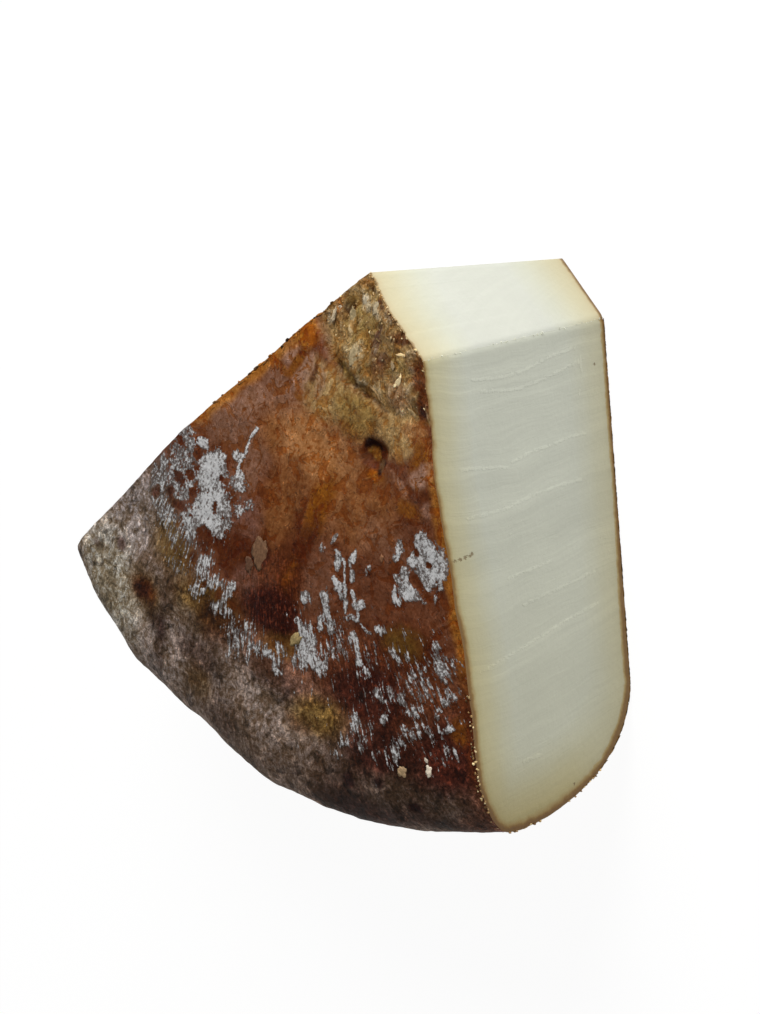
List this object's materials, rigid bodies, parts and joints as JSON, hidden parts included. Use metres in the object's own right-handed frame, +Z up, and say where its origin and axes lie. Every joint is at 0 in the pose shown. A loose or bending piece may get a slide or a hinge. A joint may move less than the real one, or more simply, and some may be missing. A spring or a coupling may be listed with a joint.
{
  "type": "cheese wedge",
  "caption": "Thick wedge cut from a small wheel of firm white cheese with an oily brown, mould-flecked natural rind, its tip cut off.",
  "frame": {"origin": "middle of the bounding box's base, on the flat underside that the wedge rests on", "axes": "+Z up along the wheel's axis, +X towards the cut-off tip, -X towards the round rim, +Y towards the far cut"},
  "size_m": [0.1328, 0.15, 0.0673],
  "materials": {
    "cheese": "oily brown natural rind with white mould on the outside, smooth ivory paste on the cuts"
  },
  "bodies": {
    "root": {"cheese_wedge": "cheese"}
  },
  "joints": []
}
